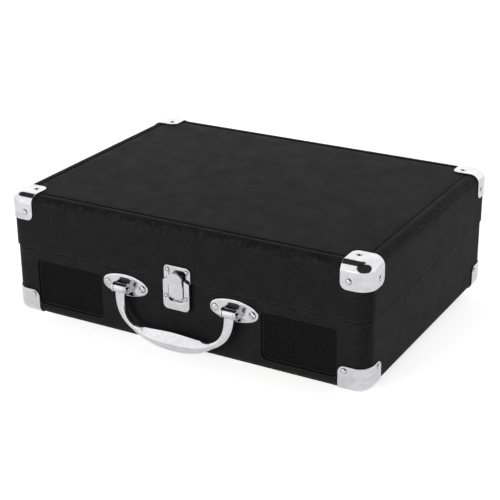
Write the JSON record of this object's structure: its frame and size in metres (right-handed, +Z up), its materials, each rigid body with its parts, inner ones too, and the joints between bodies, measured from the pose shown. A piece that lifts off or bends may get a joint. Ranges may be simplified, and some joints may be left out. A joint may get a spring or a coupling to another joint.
{
  "type": "suitcase record player",
  "caption": "Portable record player in a closed suitcase: black leather-grain case, chrome corners, latch and hanging handle, speaker grilles in front, deck and tonearm inside.",
  "frame": {"origin": "on the ground, under the middle of the whole closed object's box", "axes": "+X to the right seen from the handle side, +Y from the handle to the hinges, +Z up"},
  "size_m": [0.3538, 0.287, 0.1199],
  "materials": {
    "vinyl": "black grained leatherette, low sheen",
    "chrome": "bright plated steel",
    "steel": "fine brushed",
    "black_plastic": "fine moulded texture",
    "grille_mesh": "black diagonal mesh",
    "rubber": "matt",
    "silver_plastic": "silver paint, satin",
    "red_plastic": "glossy",
    "circuit_board": "green solder mask",
    "fibreboard": "black-faced fibreboard",
    "felt": "short-pile felt"
  },
  "bodies": {
    "base": {"base_shell": "vinyl", "bottom_panel": "fibreboard", "deck_plate": "black_plastic", "speaker_grille_left": "grille_mesh", "speaker_grille_right": "grille_mesh", "speaker_driver_left": "black_plastic", "speaker_driver_right": "black_plastic", "corner_base_front_left": "chrome", "corner_base_front_right": "chrome", "corner_base_rear_left": "chrome", "corner_base_rear_right": "chrome", "foot_front_left": "rubber", "foot_front_right": "rubber", "foot_rear_left": "rubber", "foot_rear_right": "rubber", "hinge_base_leaf_left": "steel", "hinge_base_leaf_right": "steel", "handle_plate_left": "chrome", "handle_plate_right": "chrome", "latch_plate": "chrome", "stay_base_bracket": "steel", "spindle": "steel", "drive_belt": "rubber", "motor": "steel", "tonearm_base": "black_plastic", "arm_rest": "black_plastic", "circuit_board": "circuit_board", "terminal_panel": "black_plastic", "rca_socket_block": "black_plastic", "dc_inlet": "black_plastic", "headphone_socket": "steel"},
    "lid": {"lid_shell": "vinyl", "corner_lid_front_left": "chrome", "corner_lid_front_right": "chrome", "corner_lid_rear_left": "chrome", "corner_lid_rear_right": "chrome", "hinge_lid_leaf_left": "steel", "hinge_lid_leaf_right": "steel", "latch_strike": "chrome", "stay_lid_bracket": "steel"},
    "latch_lever": {"latch_lever": "steel"},
    "handle": {"handle": "chrome"},
    "stay_lower": {"stay_lower_bar": "steel"},
    "stay_upper": {"stay_upper_bar": "steel"},
    "platter": {"platter": "black_plastic", "slip_mat": "felt"},
    "pulley": {"motor_pulley": "silver_plastic"},
    "arm_yoke": {"tonearm_yoke": "silver_plastic"},
    "tonearm": {"tonearm_tube": "silver_plastic", "counterweight": "steel", "headshell": "black_plastic", "cartridge": "red_plastic"},
    "arm_lifter": {"arm_lifter": "black_plastic"},
    "cue_lever": {"cue_lever": "silver_plastic"},
    "arm_clip": {"arm_clip": "black_plastic"},
    "volume_knob": {"volume_knob": "black_plastic"},
    "selector_knob": {"selector_knob": "black_plastic"},
    "speed_switch": {"speed_switch": "black_plastic"},
    "auto_stop_switch": {"auto_stop_switch": "black_plastic"},
    "adapter_45": {"adapter_45": "silver_plastic"}
  },
  "joints": [
    {"name": "lid_hinge", "type": "hinge", "parent": "base", "child": "lid", "pos_m": [0, 0.1375, 0.0693], "axis": [-1, 0, 0], "range_deg": [0, 105]},
    {"name": "latch_flip", "type": "hinge", "parent": "base", "child": "latch_lever", "pos_m": [0, -0.1285, 0.057], "axis": [1, 0, 0], "range_deg": [0, 100]},
    {"name": "handle_swing", "type": "hinge", "parent": "base", "child": "handle", "pos_m": [0, -0.1329, 0.055], "axis": [-1, 0, 0], "range_deg": [0, 100]},
    {"name": "stay_lower_turn", "type": "hinge", "parent": "base", "child": "stay_lower", "pos_m": [-0.1652, 0.0975, 0.0675], "axis": [-1, 0, 0], "range_deg": [0, 105]},
    {"name": "stay_upper_turn", "type": "hinge", "parent": "lid", "child": "stay_upper", "pos_m": [-0.1669, 0.0975, 0.0775], "axis": [-1, 0, 0], "range_deg": [-105, 0]},
    {"name": "platter_spin", "type": "hinge", "parent": "base", "child": "platter", "pos_m": [-0.026, 0.0041, 0.073], "axis": [0, 0, -1], "continuous": true},
    {"name": "pulley_spin", "type": "hinge", "parent": "base", "child": "pulley", "pos_m": [-0.07974, 0.05784, 0.066], "axis": [0, 0, -1], "continuous": true},
    {"name": "arm_swing", "type": "hinge", "parent": "base", "child": "arm_yoke", "pos_m": [0.128, 0.0821, 0.076], "axis": [0, 0, -1], "range_deg": [0, 46]},
    {"name": "arm_lift", "type": "hinge", "parent": "arm_yoke", "child": "tonearm", "pos_m": [0.128, 0.0821, 0.088], "axis": [-1, 0, 0], "range_deg": [0, 5.5]},
    {"name": "lifter_rise", "type": "slide", "parent": "base", "child": "arm_lifter", "axis": [0, 0, 1], "range_m": [0, 0.0032]},
    {"name": "cue_lever_turn", "type": "hinge", "parent": "base", "child": "cue_lever", "pos_m": [0.1496, 0.0761, 0.072], "axis": [-1, 0, 0], "range_deg": [0, 40]},
    {"name": "arm_clip_turn", "type": "hinge", "parent": "base", "child": "arm_clip", "pos_m": [0.1375, -0.0239, 0.09], "axis": [0, -1, 0], "range_deg": [0, 165]},
    {"name": "volume_turn", "type": "hinge", "parent": "base", "child": "volume_knob", "pos_m": [0.1, -0.0959, 0.0715], "axis": [0, 0, -1], "range_deg": [0, 300]},
    {"name": "selector_turn", "type": "hinge", "parent": "base", "child": "selector_knob", "pos_m": [-0.146, -0.0939, 0.0715], "axis": [0, 0, -1], "range_deg": [-30, 30]},
    {"name": "speed_slide", "type": "slide", "parent": "base", "child": "speed_switch", "axis": [1, 0, 0], "range_m": [-0.004, 0.004]},
    {"name": "auto_stop_slide", "type": "slide", "parent": "base", "child": "auto_stop_switch", "axis": [1, 0, 0], "range_m": [0, 0.004]},
    {"name": "adapter_lift", "type": "slide", "parent": "base", "child": "adapter_45", "axis": [0, 0, 1], "range_m": [0, 0.038]}
  ],
  "couplings": [
    {"joint": "stay_lower_turn", "follows": "lid_hinge", "ratio": 1},
    {"joint": "stay_upper_turn", "follows": "lid_hinge", "ratio": -1},
    {"joint": "pulley_spin", "follows": "platter_spin", "ratio": 9.79},
    {"joint": "arm_lift", "follows": "cue_lever_turn", "ratio": 0.1375},
    {"joint": "lifter_rise", "follows": "cue_lever_turn", "m_per_rad": 0.00458}
  ]
}
